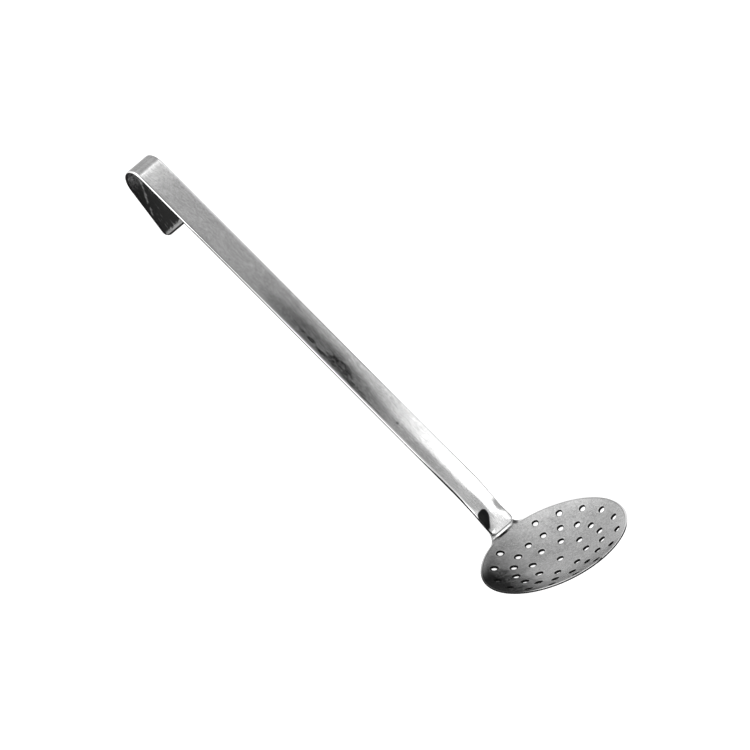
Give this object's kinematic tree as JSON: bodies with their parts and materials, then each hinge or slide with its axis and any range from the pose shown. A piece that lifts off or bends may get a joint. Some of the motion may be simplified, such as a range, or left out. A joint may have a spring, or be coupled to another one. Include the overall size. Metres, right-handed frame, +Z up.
{
  "type": "kitchen skimmer",
  "caption": "Skimmer with a shallow perforated steel bowl and a flat strip handle, spot-welded to the bowl's lug and folded back to a hook at its end.",
  "frame": {"origin": "centre of the footprint, at the height of the table that the skimmer lies on", "axes": "+Z up, the skimmer lies on its back with the bowl's hollow up; +X from the bowl to the hook; +Y across"},
  "size_m": [0.4096, 0.1008, 0.0685],
  "materials": {
    "bowl_steel": "satin stainless steel sheet with a fine scoured grain and bright punched edges",
    "handle_steel": "stainless steel strip ground along its length, with rounded bright edges",
    "weld_steel": "fused steel nugget"
  },
  "bodies": {
    "root": {"bowl": "bowl_steel", "handle": "handle_steel", "spot_weld_lower": "weld_steel", "spot_weld_upper": "weld_steel"}
  },
  "joints": []
}
